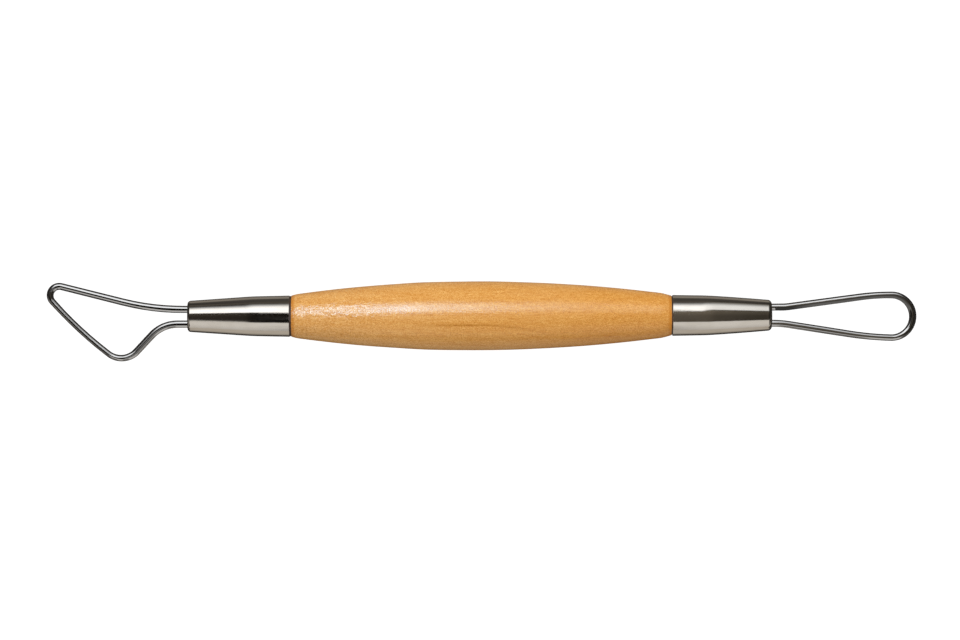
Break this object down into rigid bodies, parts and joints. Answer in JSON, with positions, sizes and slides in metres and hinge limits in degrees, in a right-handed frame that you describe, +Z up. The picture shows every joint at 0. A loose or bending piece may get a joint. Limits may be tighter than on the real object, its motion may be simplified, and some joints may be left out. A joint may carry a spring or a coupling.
{
  "type": "pottery wire loop tool",
  "caption": "Double-ended clay trimming tool: spindle-shaped wooden handle, a tapered metal ferrule on each end, a triangular wire loop in one and a teardrop wire loop in the other.",
  "frame": {"origin": "the spot on the bench that the middle of the handle's belly rests on", "axes": "+X along the tool, from the triangle end to the teardrop end; +Y level, away from the triangle's heel; +Z up, square to the flat of both loops"},
  "size_m": [0.2032, 0.0185, 0.0159],
  "materials": {
    "varnished_wood": "satin amber varnish over fine straight grain",
    "nickel_plate": "bright nickel plate",
    "spring_wire": "drawn spring steel, polished",
    "resin": "cured amber-brown adhesive"
  },
  "bodies": {
    "root": {"handle": "varnished_wood", "triangle_ferrule": "nickel_plate", "teardrop_ferrule": "nickel_plate", "triangle_wire_loop": "spring_wire", "teardrop_wire_loop": "spring_wire", "triangle_resin_plug": "resin", "teardrop_resin_plug": "resin"}
  },
  "joints": []
}
